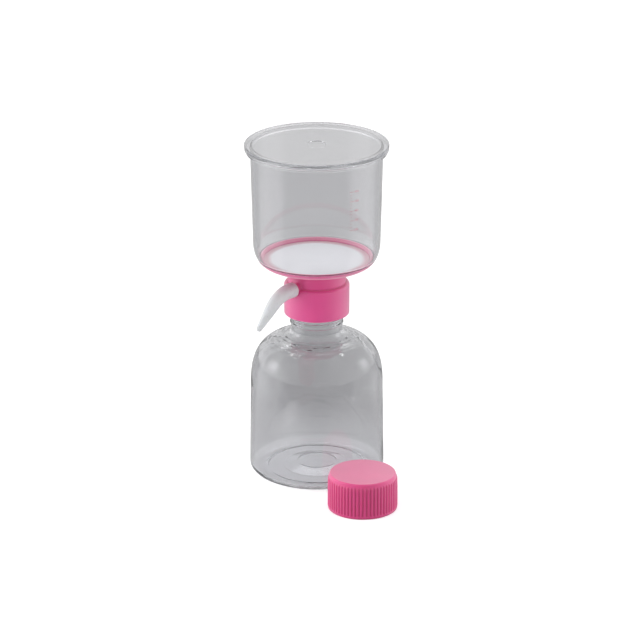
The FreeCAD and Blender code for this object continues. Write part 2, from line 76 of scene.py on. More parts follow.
# --------------------------------------------------------------- outlines
class Outline:
    """Dense outline in the (radius, height) plane. Each point carries the
    direction of travel, so that the turned surface gets exact normals. The
    material lies to the left of the direction of travel."""

    def __init__(self, r, z):
        self.pts, self.tan = [(r, z)], [None]

    def put(self, p, t):
        n = math.hypot(*t)
        t = (t[0] / n, t[1] / n)
        if self.tan[-1] is None:
            self.tan[-1] = t
        if math.hypot(p[0] - self.pts[-1][0], p[1] - self.pts[-1][1]) > 1e-5:
            self.pts.append(p)
            self.tan.append(t)

    def line(self, r, z, step=None):
        a = self.pts[-1]
        d = (r - a[0], z - a[1])
        length = math.hypot(*d)
        if length < 1e-6:
            return self
        n = 1 if step is None else max(1, int(math.ceil(length / step)))
        for i in range(1, n + 1):
            self.put((a[0] + d[0] * i / n, a[1] + d[1] * i / n), d)
        return self

    def bend(self, c, end, n=10, k=0.5523):
        """Quarter-ellipse-like corner that rounds the point c."""
        a, b = self.pts[-1], end
        p1 = (a[0] + k * (c[0] - a[0]), a[1] + k * (c[1] - a[1]))
        p2 = (b[0] + k * (c[0] - b[0]), b[1] + k * (c[1] - b[1]))
        for i in range(1, n + 1):
            t = i / n
            u = 1 - t
            p = tuple(u ** 3 * a[j] + 3 * u * u * t * p1[j] + 3 * u * t * t * p2[j] + t ** 3 * b[j] for j in (0, 1))
            d = tuple(3 * u * u * (p1[j] - a[j]) + 6 * u * t * (p2[j] - p1[j]) + 3 * t * t * (b[j] - p2[j]) for j in (0, 1))
            self.put(p, d)
        return self

    def curve(self, pts, t0, t1, n=6):
        """Smooth curve through pts (cubic spans), with end directions t0, t1."""
        p = [np.array(self.pts[-1])] + [np.array(q) for q in pts]
        m = []
        for i in range(len(p)):
            if i == 0:
                v = np.array(t0) / math.hypot(*t0)
            elif i == len(p) - 1:
                v = np.array(t1) / math.hypot(*t1)
            else:
                a, b = p[i] - p[i - 1], p[i + 1] - p[i]
                la, lb = np.linalg.norm(a), np.linalg.norm(b)
                v = a / la * lb + b / lb * la
                v = v / np.linalg.norm(v)
            m.append(v)
        for i in range(len(p) - 1):
            a, b = p[i], p[i + 1]
            d = np.linalg.norm(b - a)
            for s in range(1, n + 1):
                t = s / n
                h00, h10 = 2 * t ** 3 - 3 * t * t + 1, t ** 3 - 2 * t * t + t
                h01, h11 = -2 * t ** 3 + 3 * t * t, t ** 3 - t * t
                q = h00 * a + h10 * d * m[i] + h01 * b + h11 * d * m[i + 1]
                g = (6 * t * t - 6 * t) * a + (3 * t * t - 4 * t + 1) * d * m[i] + (6 * t - 6 * t * t) * b + (3 * t * t - 2 * t) * d * m[i + 1]
                self.put((float(q[0]), float(q[1])), (float(g[0]), float(g[1])))
        return self

    def path(self, pts, n=6, step=None):
        """Straight runs through (r, z) or (r, z, fillet) points."""
        for i, q in enumerate(pts):
            if len(q) == 2 or i == len(pts) - 1:
                self.line(q[0], q[1], step)
                continue
            f, a, b = q[2], self.pts[-1], pts[i + 1]
            ua = np.array([a[0] - q[0], a[1] - q[1]])
            ub = np.array([b[0] - q[0], b[1] - q[1]])
            ua, ub = ua / np.linalg.norm(ua), ub / np.linalg.norm(ub)
            half = math.acos(max(-1, min(1, float(ua @ ub)))) / 2
            d = f / math.tan(half)
            c0 = np.array(q[:2])
            t1, t2 = c0 + ua * d, c0 + ub * d
            bis = (ua + ub) / np.linalg.norm(ua + ub)
            c = c0 + bis * (f / math.sin(half))
            self.line(float(t1[0]), float(t1[1]), step)
            v1, v2 = t1 - c, t2 - c
            a1 = math.atan2(v1[1], v1[0])
            turn = math.atan2(v1[0] * v2[1] - v1[1] * v2[0], float(v1 @ v2))
            k = max(2, int(round(n * abs(turn) / (math.pi / 2))))
            for s in range(1, k + 1):
                a2 = a1 + turn * s / k
                g = (-math.sin(a2) * (1 if turn > 0 else -1), math.cos(a2) * (1 if turn > 0 else -1))
                self.put((float(c[0] + f * math.cos(a2)), float(c[1] + f * math.sin(a2))), g)
        return self


def new_mesh(name, verts, faces):
    me = bpy.data.meshes.new(name)
    me.from_pydata([tuple(v) for v in verts], [], faces)
    me.update()
    ob = bpy.data.objects.new(name, me)
    bpy.context.scene.collection.objects.link(ob)
    return ob


def turned(name, outline, seg, relief=None, closed=False, centre=(0.0, 0.0)):
    """Turns an outline round the vertical axis. relief(theta, r, z) gives each
    point's extra (radius, height), for threads and ribs."""
    pts = np.array(outline.pts)
    tan = np.array([t if t is not None else (1, 0) for t in outline.tan])
    if closed and np.hypot(*(pts[0] - pts[-1])) < 1e-5:
        pts, tan = pts[:-1], tan[:-1]
    th = np.arange(seg) * 2 * math.pi / seg
    nrow = len(pts)
    R = np.repeat(pts[:, :1], seg, 1)
    Z = np.repeat(pts[:, 1:], seg, 1)
    moved = np.zeros(nrow, bool)
    if relief is not None:
        for i in range(nrow):
            dr, dz = relief(th, pts[i, 0], pts[i, 1])
            if np.any(np.abs(dr) > 1e-9) or np.any(np.abs(dz) > 1e-9):
                moved[i] = True
                R[i] += dr
                Z[i] += dz
    P = np.stack([R * np.cos(th), R * np.sin(th), Z], -1)
    # exact normals: to the right of the direction of travel
    N = np.stack([tan[:, 1:2] * np.cos(th), tan[:, 1:2] * np.sin(th), np.repeat(-tan[:, :1], seg, 1)], -1)
    if moved.any():
        dth = np.roll(P, -1, 1) - np.roll(P, 1, 1)
        ds = np.zeros_like(P)
        ds[1:-1] = P[2:] - P[:-2]
        ds[0], ds[-1] = P[1] - P[0], P[-1] - P[-2]
        if closed:
            ds[0], ds[-1] = P[1] - P[-1], P[0] - P[-2]
        C = np.cross(dth, ds)
        C /= np.linalg.norm(C, axis=-1, keepdims=True) + 1e-12
        near = moved.copy()
        near[1:] |= moved[:-1]
        near[:-1] |= moved[1:]
        sign = np.sign(np.sum(C * N, -1).mean(1))
        for i in np.nonzero(near)[0]:
            N[i] = C[i] * (sign[i] if sign[i] else 1)
    verts, normals, rows = [], [], []
    for i in range(nrow):
        if pts[i, 0] < 1e-6:
            rows.append([len(verts)] * seg)
            verts.append((0, 0, pts[i, 1]))
            normals.append((0, 0, 1 if N[i, 0, 2] > 0 else -1))
        else:
            rows.append(list(range(len(verts), len(verts) + seg)))
            verts.extend(map(tuple, P[i]))
            normals.extend(map(tuple, N[i]))
    faces = []
    last = nrow if closed else nrow - 1
    for i in range(last):
        a, b = rows[i], rows[(i + 1) % nrow]
        for j in range(seg):
            k = (j + 1) % seg
            if a[0] == a[1]:
                faces.append((a[j], b[k], b[j]))
            elif b[0] == b[1]:
                faces.append((a[j], a[k], b[j]))
            else:
                faces.append((a[j], a[k], b[k], b[j]))
    v = np.array(verts) * MM
    v[:, 0] += centre[0] * MM
    v[:, 1] += centre[1] * MM
    ob = new_mesh(name, v, faces)
    me = ob.data
    me.polygons.foreach_set("use_smooth", [True] * len(me.polygons))
    me.normals_split_custom_set_from_vertices(normals)
    me.update()
    return ob


def shade(ob, angle=32.0, weighted=True):
    """Smooth shading with real edges kept sharp, for opaque pieces."""
    me = ob.data
    me.polygons.foreach_set("use_smooth", [True] * len(me.polygons))
    me.set_sharp_from_angle(angle=math.radians(angle))
    if weighted:
        w = ob.modifiers.new("wn", "WEIGHTED_NORMAL")
        w.keep_sharp = True
        w.weight = 80
        apply_modifiers(ob)
    return ob


def apply_modifiers(ob):
    bpy.context.view_layer.update()
    dg = bpy.context.evaluated_depsgraph_get()
    me = bpy.data.meshes.new_from_object(ob.evaluated_get(dg), preserve_all_data_layers=True, depsgraph=dg)
    old = ob.data
    ob.modifiers.clear()
    ob.data = me
    bpy.data.meshes.remove(old)
    return ob


def boolean(a, b, op):
    m = a.modifiers.new("b", "BOOLEAN")
    m.object, m.operation, m.solver = b, op, "EXACT"
    apply_modifiers(a)
    bpy.data.objects.remove(b)
    return a


def thread_relief(z0, turns, start_deg, root_w, crest_w, height, side):
    """Right-hand ridge on a turned wall: +1 stands out, -1 stands inwards."""
    def f(theta, z):
        out = np.zeros_like(theta)
        base = (theta - math.radians(start_deg)) % (2 * math.pi)
        for k in range(int(math.ceil(turns)) + 1):
            a = base + 2 * math.pi * k
            ok = a <= turns * 2 * math.pi
            d = np.abs(z - (z0 + PITCH * a / (2 * math.pi)))
            h = np.clip((root_w / 2 - d) / ((root_w - crest_w) / 2), 0, 1)
            fade = np.clip(a / math.radians(18), 0, 1) * np.clip((turns * 2 * math.pi - a) / math.radians(18), 0, 1)
            fade = fade * fade * (3 - 2 * fade)
            out = np.maximum(out, np.where(ok, h * fade, 0))
        return out * height * side
    return f


# ------------------------------------------------------------- receiver bottle
def shoulder(n=15):
    pts = []
    for i in range(n + 1):
        t = math.radians(90.0 - 90.0 * i / n)
        s, c = math.sin(t), math.cos(t)
        pts.append((SH_R0 + (SH_R1 - SH_R0) * abs(s) ** (2 / SH_N), SH_Z0 + (SH_Z - SH_Z0) * abs(c) ** (2 / SH_M)))
    return [p for p in pts if p[0] > ROOT_R + 0.8 and p[1] > SH_Z0 + 1.0]


def offset_points(pts, d):
    out = []
    for i in range(len(pts)):
        a, b = pts[max(i - 1, 0)], pts[min(i + 1, len(pts) - 1)]
        dx, dz = b[0] - a[0], b[1] - a[1]
        n = math.hypot(dx, dz)
        out.append((pts[i][0] - dz / n * d, pts[i][1] + dx / n * d))
    return out


def inside_wall(r, z):
    """True for points of the bottle's inner face, from the body to the neck."""
    if z > ROOT_Z - 0.3:
        return r < NECK_BORE_R + 1.2 or z < ROOT_Z + ROOT_SLOPE * (ROOT_R - r) - 0.5
    f = max(0.0, 1 - ((r - SH_R0) / (SH_R1 - SH_R0)) ** SH_N) if r > SH_R0 else 1.0
    return z < SH_Z0 + (SH_Z - SH_Z0) * f ** (1 / SH_M) - 0.5 or r < SH_R0


def ripples(seed):
    """Smooth uneven field over angle, radius and height, about -1 to 1."""
    rng = np.random.RandomState(seed)
    terms = []
    for i in range(26):
        terms.append((rng.randint(2, 22), rng.uniform(0.15, 0.9), rng.uniform(0.1, 0.5), rng.uniform(0, 2 * math.pi), rng.uniform(0.5, 1.0)))
    total = math.sqrt(sum(t[4] ** 2 for t in terms) / 2)

    def f(theta, r, z):
        out = np.zeros_like(theta)
        for n, kr, kz, ph, a in terms:
            out += a * np.cos(n * theta + kr * r + kz * z + ph)
        return out / total
    return f


def make_bottle():
    sh = shoulder()
    o = Outline(0, 4.6)
    o.path([(15.0, 4.6, 3.0), (25.5, 2.0, 3.0), (38.0, 1.5, 1.5), (FOOT_IN_R - 0.6, 0.05, 0.6), (FOOT_IN_R + 0.6, 0.0)], n=16, step=3)
    o.line(FOOT_OUT_R, 0.0)
    o.bend((BODY_R, 0.0), (BODY_R, BODY_Z0), 16)
    o.line(BODY_TOP_R, BODY_Z1, 4.0)
    up = (BODY_TOP_R - BODY_R, BODY_Z1 - BODY_Z0)
    top = (ROOT_R, ROOT_Z)
    o.curve(sh + [top], up, (-1, ROOT_SLOPE), 5)
    o.bend((NECK_R, ROOT_Z + ROOT_SLOPE * (ROOT_R - NECK_R)), (NECK_R, SH_Z + ROOT_H), 18)
    for z in NECK_RINGS_Z:
        o.path([(NECK_R, z - 1.3, 0.5), (NECK_RING_R, z - 0.5, 0.3), (NECK_RING_R, z + 0.5, 0.3), (NECK_R, z + 1.3, 0.5), (NECK_R, z + 1.6)])
    o.line(NECK_R, THREAD_Z - 2.5, 2)
    o.line(NECK_R, THREAD_Z + PITCH * THREAD_TURNS + 2.5, 0.27)
    o.path([(NECK_R, MOUTH_Z, 0.6), (NECK_BORE_R, MOUTH_Z, 0.6), (NECK_BORE_R, MOUTH_Z - 4)])
    o.line(NECK_BORE_R, SH_Z + 5.2, 4.0)
    inner_top = (ROOT_R - ROOT_SLOPE * WALL, ROOT_Z - WALL)
    inner = offset_points([(BODY_TOP_R, BODY_Z1)] + sh + [top], WALL)
    inner = [q for q in inner[1:] if q[0] > inner_top[0] + 0.8]
    o.bend((NECK_BORE_R, inner_top[1] + ROOT_SLOPE * (inner_top[0] - NECK_BORE_R)), inner_top, 18)
    pts = list(reversed(inner)) + [(BODY_TOP_R - WALL, BODY_Z1)]
    o.curve(pts, (1, -ROOT_SLOPE), (-up[0], -up[1]), 5)
    o.line(BODY_R - WALL, BODY_Z0 + 0.3, 4.0)
    o.bend((BODY_R - WALL, 1.75), (BODY_R - WALL - 8.0, 1.75), 16)
    o.path([(42.0, 1.75, 0.8), (38.6, 3.2, 1.5), (26.5, 3.7, 3.0), (15.5, 6.4, 3.0), (0, 6.4)], n=16, step=3)
    ridge = thread_relief(THREAD_Z, THREAD_TURNS, 200, 2.2, 1.0, THREAD_R - NECK_R, 1)

    waves = ripples(SEED)

    def relief(theta, r, z):
        nul = np.zeros_like(theta)
        if abs(r - NECK_R) < 1e-6 and THREAD_Z - 2.4 < z < THREAD_Z + PITCH * THREAD_TURNS + 2.4:
            return ridge(theta, z), nul
        # the blown inner face of the shoulder is uneven, most of all near the neck
        if 68.0 < z < 121.0 and inside_wall(r, z):
            k = np.interp(z, [68, 76, 92, 108, 114, 121], [0, 0.03, 0.10, 0.14, 0.08, 0])
            h = k * waves(theta, r, z)
            a = 0.24 * np.interp(r, [20, 23, 36, 43], [0, 1, 0.8, 0])
            ring = 0.5 + 0.5 * np.cos(2 * math.pi * r / 3.8 + 0.7 * np.sin(2 * theta + 0.7) + 0.6 * np.sin(5 * theta))
            h = h - a * ring ** 2
            t = np.interp(z, [70, 100, 112], [0.0, 0.45, 1.0])
            return h * (1 - t), h * t
        return nul, nul

    return turned("bottle_shell", o, 216, relief)


# ---------------------------------------------------------------- filter base
def corner_pts(z0, z1, n, off=0.0):
    a0 = math.asin(max(-1.0, min(1.0, (PLATE_Z + CORNER_H - z0) / CORNER_H)))
    a1 = math.asin(max(-1.0, min(1.0, (PLATE_Z + CORNER_H - z1) / CORNER_H)))
    pts = []
    for i in range(n + 1):
        a = a0 + (a1 - a0) * i / n
        r = CORNER_FLAT_R + CORNER_R * math.cos(a)
        z = PLATE_Z + CORNER_H * (1 - math.sin(a))
        nr, nz = math.cos(a) / CORNER_R, -math.sin(a) / CORNER_H
        m = math.hypot(nr, nz)
        pts.append((r - nr / m * off, z - nz / m * off))
    return pts


def port_matrix():
    return Matrix.Translation((0, 0, PORT_Z * MM)) @ Matrix.Rotation(math.radians(270.0 - PORT_ANGLE), 4, "Z")


def lying(name, outline, seg, closed=False):
    """A turned piece laid along the port's axis, x outwards."""
    ob = turned(name, outline, seg, closed=closed)
    ob.data.transform(port_matrix() @ Matrix.Rotation(math.radians(90), 4, "Y"))
    return ob


def make_base():
    o = Outline(SPOUT_BORE_R, 171.2)
    o.path([(SPOUT_BORE_R - 0.5, SPOUT_Z, 0.05), (SPOUT_R - 0.5, SPOUT_Z, 0.4), (SPOUT_R, 169.9, 1.2),
            (NECK2_BORE_R - 0.5, 170.6, 1.5), (NECK2_BORE_R, SEAT_Z, 0.05),
            (SOCKET_R, SEAT_Z, 0.5), (SOCKET_R, THREAD_Z + 7.5)], step=4)
    o.line(SOCKET_R, THREAD_Z - PITCH / 2 - 2.3, 0.3)
    o.path([(SOCKET_R, COLLAR_Z0 + 1.0, 0.2), (SOCKET_R + 0.8, COLLAR_Z0, 0.05),
            (COLLAR_R - 0.1, COLLAR_Z0, 0.9), (COLLAR_R, COLLAR_Z1, COLLAR_ROUND), (NECK2_R, COLLAR_Z1 + 0.1),
            (NECK2_R - 0.1, PLATE_Z, 1.2), (CORNER_FLAT_R - 6, PLATE_Z)], n=10, step=3)
    o.line(CORNER_FLAT_R, PLATE_Z, 3)
    pts = corner_pts(PLATE_Z, SEAM_Z, 8)
    a1, b1 = pts[-1], pts[-2]
    o.curve(pts[1:], (1, 0), (a1[0] - b1[0], a1[1] - b1[1]), 2)
    o.path([(45.85, SEAM_Z, 0.02), (45.75, SEAM_Z - 1.05, 0.05), (44.95, SEAM_Z - 1.05, 0.05), (44.85, SEAM_Z, 0.05),
            (RIM_R, SEAM_Z, 0.05), (RIM_R, RIM_Z, 0.35), (RING_IN_R + 1.0, RIM_Z, 0.5), (RING_IN_R, SEAT_MEMBRANE_Z + 0.4, 0.1),
            (RING_IN_R, SEAT_MEMBRANE_Z, 0.05), (40.2, SEAT_MEMBRANE_Z, 0.2), (40.1, DISH_Z, 0.2), (19.0, DISH_Z - 0.2, 6.0), (SPOUT_BORE_R + 1.2, 172.4, 0.6), (SPOUT_BORE_R, 171.2)], step=3)
    ridge = thread_relief(THREAD_Z - PITCH / 2, THREAD_TURNS, 200, 2.1, 0.9, SOCKET_R - SOCKET_CREST_R, -1)

    def relief(theta, r, z):
        nul = np.zeros_like(theta)
        if abs(r - SOCKET_R) < 1e-6 and THREAD_Z - 4.4 < z < THREAD_Z + 7.4:
            return ridge(theta, z), nul
        if 6.9 < r < 40.0 and (172.2 if r <= 19 else DISH_Z - 0.75) < z < DISH_Z + 0.3:
            # radial ribs that hold the membrane up off the drain dish
            n = 36 if r > 15 else 12
            a = np.abs((theta * n / (2 * math.pi) + 0.5) % 1 - 0.5) * 2 * math.pi / n * r
            return nul, np.where(a < 0.45, SEAT_MEMBRANE_Z - 0.03 - z, 0.0)
        return nul, nul

    base = turned("base_moulding", o, 360, relief, closed=True)
    # boss and spigot of the side port, with the bore through them
    s = Outline(PORT_BORE_R, 19.6)
    s.path([(BOSS_R + 1.2, 19.6), (BOSS_R + 1.2, 22.3, 0.2), (BOSS_R, 23.6, 0.8), (BOSS_R, BOSS_END, 0.35),
            (SPIGOT_R, BOSS_END, 0.15), (SPIGOT_R, SPIGOT_END, 0.3), (PORT_BORE_R, SPIGOT_END, 0.1), (PORT_BORE_R, 19.6)])
    port = lying("port", s, 64, closed=True)
    base = boolean(base, port, "UNION")
    b = Outline(0, 14.0)
    b.path([(PORT_BORE_R, 14.0, 0.05), (PORT_BORE_R, 25.0, 0.05), (0, 25.0)])
    base = boolean(base, lying("bore", b, 48), "DIFFERENCE")
    shade(base, 40)
    return base


# -------------------------------------------------------------------- nozzle
def smooth_table(table, s):
    """Monotone-looking smooth interpolation of (s, r) rows."""
    xs = [t[0] for t in table]
    ys = [t[1] for t in table]
    if s <= xs[0]:
        return ys[0]
    if s >= xs[-1]:
        return ys[-1]
    i = max(j for j in range(len(xs) - 1) if xs[j] <= s)
    def slope(j):
        if j == 0 or j == len(xs) - 1:
            k = min(j, len(xs) - 2)
            return (ys[k + 1] - ys[k]) / (xs[k + 1] - xs[k])
        a = (ys[j] - ys[j - 1]) / (xs[j] - xs[j - 1])
        b = (ys[j + 1] - ys[j]) / (xs[j + 1] - xs[j])
        return 0.0 if a * b <= 0 else 2 * a * b / (a + b)
    h = xs[i + 1] - xs[i]
    t = (s - xs[i]) / h
    return ((2 * t ** 3 - 3 * t * t + 1) * ys[i] + (t ** 3 - 2 * t * t + t) * h * slope(i)
            + (-2 * t ** 3 + 3 * t * t) * ys[i + 1] + (t ** 3 - t * t) * h * slope(i + 1))


def nozzle_line(s):
    l1 = NOZ_STRAIGHT_END - NOZ_START
    l2 = math.radians(NOZ_BEND_DEG) * NOZ_BEND_R
    if s <= l1:
        return (NOZ_START + s, 0.0), 0.0
    if s <= l1 + l2:
        a = (s - l1) / NOZ_BEND_R
        return (NOZ_STRAIGHT_END + NOZ_BEND_R * math.sin(a), -NOZ_BEND_R * (1 - math.cos(a))), a
    a, d = math.radians(NOZ_BEND_DEG), s - l1 - l2
    return (NOZ_STRAIGHT_END + NOZ_BEND_R * math.sin(a) + d * math.cos(a),
            -NOZ_BEND_R * (1 - math.cos(a)) - d * math.sin(a)), a


def make_nozzle():
    l1 = NOZ_STRAIGHT_END - NOZ_START
    end = l1 + math.radians(NOZ_BEND_DEG) * NOZ_BEND_R + NOZ_TIP_LEN
    outer = [(0.0, 5.55), (0.1, 5.75), (0.35, 5.93), (0.9, 6.03), (3.5, 6.0), (l1, 5.95), (12.0, 5.7), (19.4, 5.3),
             (27.5, 4.7), (34.0, 3.98), (40.0, 3.2), (45.0, 2.45), (end - 1.6, 2.1), (end - 0.7, 1.88),
             (end - 0.2, 1.58), (end - 0.03, 1.4), (end, 1.28)]
    bore = [(SPIGOT_END - NOZ_START + 0.6, 2.6), (12.0, 2.4), (19.4, 2.1), (27.5, 1.8), (34.0, 1.55), (40.0, 1.3), (end, 1.0)]
    socket_end = SPIGOT_END + 0.8 - NOZ_START
    sr = SPIGOT_R + 0.05
    stations = []        # (s, r), outer wall from foot to tip, then the bore back
    for v in (0.0, 0.04, 0.1, 0.2, 0.35, 0.6, 0.9):
        stations.append((v, smooth_table(outer, v)))
    stations += [(v, smooth_table(outer, v)) for v in np.arange(1.6, end - 1.6, 0.8)]
    for v in (1.6, 1.1, 0.7, 0.45, 0.2, 0.1, 0.03, 0.0):
        stations.append((end - v, smooth_table(outer, end - v)))
    stations += [(end, 1.14), (end - 0.12, 1.0)]
    stations += [(v, smooth_table(bore, v)) for v in np.arange(end - 1.0, socket_end + 1.0, -1.2)]
    stations += [(socket_end, smooth_table(bore, socket_end)), (socket_end, sr - 0.1), (socket_end - 0.1, sr)]
    stations += [(v, sr) for v in np.arange(socket_end - 1.0, 0.8, -1.2)]
    stations += [(0.35, sr), (0.0, sr + 0.35), (0.0, 4.6)]
    seg = 56
    verts = []
    for s, r in stations:
        (x, z), a = nozzle_line(float(s))
        for j in range(seg):
            t = 2 * math.pi * j / seg
            u, v = r * math.cos(t), r * math.sin(t)
            verts.append((x + v * math.sin(a), u, z + v * math.cos(a)))
    faces = []
    n = len(stations)
    for i in range(n):
        for j in range(seg):
            k = (j + 1) % seg
            m = (i + 1) % n
            faces.append((i * seg + j, m * seg + j, m * seg + k, i * seg + k))
    ob = new_mesh("nozzle_horn", np.array(verts) * MM, faces)
    fix_outward(ob)
    ob.data.transform(port_matrix())
    return shade(ob, 50)


def fix_outward(ob):
    """Faces of a closed mesh turned to look outwards."""
    me = ob.data
    vol = 0.0
    co = [v.co for v in me.vertices]
    for p in me.polygons:
        v = p.vertices
        for i in range(1, len(v) - 1):
            vol += co[v[0]].dot(co[v[i]].cross(co[v[i + 1]]))
    if vol < 0:
        me.flip_normals()


# -------------------------------------------------------------- funnel and lid
def make_funnel():
    inner_low = corner_pts(SEAM_Z, PLATE_Z + CORNER_H, 10, FUN_WALL)
    outer_low = corner_pts(SEAM_Z, PLATE_Z + CORNER_H, 10)
    o = Outline(44.4, SEAM_Z + 0.02)
    o.path([(44.95, SEAM_Z + 0.02, 0.05), (45.05, SEAM_Z - 1.0, 0.1), (45.65, SEAM_Z - 1.0, 0.1), (45.75, SEAM_Z + 0.02, 0.05)])
    o.path([(outer_low[0][0], SEAM_Z + 0.02, 0.03), outer_low[1]])
    up = (FUN_R_TOP - FUN_R_LOW, FUN_TOP_Z - FUN_LOW_Z)
    t0 = (outer_low[2][0] - outer_low[0][0], outer_low[2][1] - outer_low[0][1])
    o.curve(outer_low[2:], t0, up, 5)

    def wall_r(z):
        return FUN_R_LOW + (z - FUN_LOW_Z) * up[0] / up[1]

    o.line(wall_r(262.0), 262.0, 6)
    o.path([(wall_r(FLANGE_Z0), FLANGE_Z0, 0.6), (FLANGE_R, FLANGE_Z0, 0.5), (FLANGE_R, FLANGE_Z1, 0.4),
            (wall_r(FLANGE_Z1), FLANGE_Z1, 0.3), (wall_r(FUN_TOP_Z), FUN_TOP_Z, 0.4),
            (wall_r(FUN_TOP_Z) - FUN_WALL, FUN_TOP_Z, 0.4), (wall_r(260.0) - FUN_WALL, 260.0)])
    o.line(inner_low[-1][0], FUN_LOW_Z, 6)
    pts = [q for q in list(reversed(inner_low))[1:] if q[1] > SEAM_Z + 2.6]
    last = (inner_low[1][0] - 0.15, SEAM_Z + 1.2)
    o.curve(pts + [last], (-up[0], -up[1]), (-0.75, -0.66), 5)
    o.path([(44.4, SEAM_Z + 0.45, 0.2), (44.4, SEAM_Z + 0.02)])
    return turned("funnel_shell", o, 240, closed=True)


def make_scale():
    """Plain printed graduations on the funnel's right-hand front: ticks and
    numbers, as a thin layer of ink that follows the conical wall."""
    slope = (FUN_R_TOP - FUN_R_LOW) / (FUN_TOP_Z - FUN_LOW_Z)
    verts, faces = [], []

    def at(u, z, off):
        r = FUN_R_LOW + (z - FUN_LOW_Z) * slope + off
        a = math.radians(SCALE_DEG - 90.0) + u / FUN_R_LOW
        return (r * math.cos(a), r * math.sin(a), z)

    def bar(u0, u1, z0, z1, n):
        k = len(verts)
        for i in range(n + 1):
            u = u0 + (u1 - u0) * i / n
            for z, off in ((z0, 0.02), (z1, 0.02), (z1, 0.07), (z0, 0.07)):
                verts.append(at(u, z, off))
        for i in range(n):
            a, b = k + 4 * i, k + 4 * i + 4
            for q in range(4):
                w = (q + 1) % 4
                faces.append((a + w, a + q, b + q, b + w))
        faces.append((k, k + 1, k + 2, k + 3))
        e = k + 4 * n
        faces.append((e + 3, e + 2, e + 1, e))

    steps = 12
    for i in range(steps + 1):
        z = SCALE_Z0 + (SCALE_Z1 - SCALE_Z0) * i / steps
        major = i % 3 == 0
        bar(0.0, 3.4 if major else 2.0, z - (0.16 if major else 0.11), z + (0.16 if major else 0.11), 4)
    dg = bpy.context.evaluated_depsgraph_get()
    for i in range(0, steps + 1, 3):
        z = SCALE_Z0 + (SCALE_Z1 - SCALE_Z0) * i / steps
        cu = bpy.data.curves.new("number", "FONT")
        cu.body = str(200 + 100 * (i // 3))
        cu.size, cu.extrude, cu.resolution_u = 2.6, 0.025, 3
        cu.align_y = "CENTER"
        tmp = bpy.data.objects.new("number", cu)
        bpy.context.scene.collection.objects.link(tmp)
        bpy.context.view_layer.update()
        dg = bpy.context.evaluated_depsgraph_get()
        ev = tmp.evaluated_get(dg)
        me = ev.to_mesh()
        k = len(verts)
        verts.extend(at(4.0 + v.co.x, z + v.co.y, 0.06 + v.co.z) for v in me.vertices)
        faces.extend(tuple(k + j for j in f.vertices) for f in me.polygons)
        ev.to_mesh_clear()
        bpy.data.objects.remove(tmp)
        bpy.data.curves.remove(cu)
    return new_mesh("funnel_scale", [(x * MM, y * MM, z * MM) for x, y, z in verts], faces)


def make_lid():
    zu = FUN_TOP_Z + 0.02
    o = Outline(0, zu)
    o.path([(54.8, zu, 0.4), (55.0, LID_SKIRT_Z, 0.05),
            (LID_R - 0.27, LID_SKIRT_Z, 0.35), (LID_R - 0.02, LID_TOP_Z - 0.01, 0.9),
            (7.1, LID_TOP_Z - 0.01, 0.3), (6.6, LID_TOP_Z - 0.5, 0.3), (0, LID_TOP_Z - 0.5)], n=12, step=6)
    return turned("lid_shell", o, 240)


def make_membrane():
    r = RING_IN_R - 0.25
    z0, z1 = SEAT_MEMBRANE_Z, SEAT_MEMBRANE_Z + 0.3
    o = Outline(0, z0)
    o.line(20, z0, 5)
    o.path([(r, z0, 0.1), (r, z1, 0.1), (40.3, z1, 0.4), (39.7, z1 - 0.08, 0.4), (0, z1 - 0.08)], step=4)
    return turned("membrane_disc", o, 180)


def make_gasket():
    o = Outline(NECK_BORE_R + 0.2, MOUTH_Z + 0.4)
    o.path([(NECK_BORE_R + 0.2, MOUTH_Z + 0.02, 0.3), (SOCKET_R - 0.35, MOUTH_Z + 0.02, 0.3),
            (SOCKET_R - 0.35, SEAT_Z - 0.02, 0.3), (NECK_BORE_R + 0.2, SEAT_Z - 0.02, 0.3), (NECK_BORE_R + 0.2, MOUTH_Z + 0.4)])
    return turned("seal_ring", o, 128, closed=True)


def make_plug():
    r = PORT_BORE_R - 0.01
    o = Outline(0, 23.0)
    o.path([(r, 23.0, 0.35), (r, 33.0, 0.35), (0, 33.0)], step=0.6)
    ob = lying("fibre_wad", o, 40)
    return ob


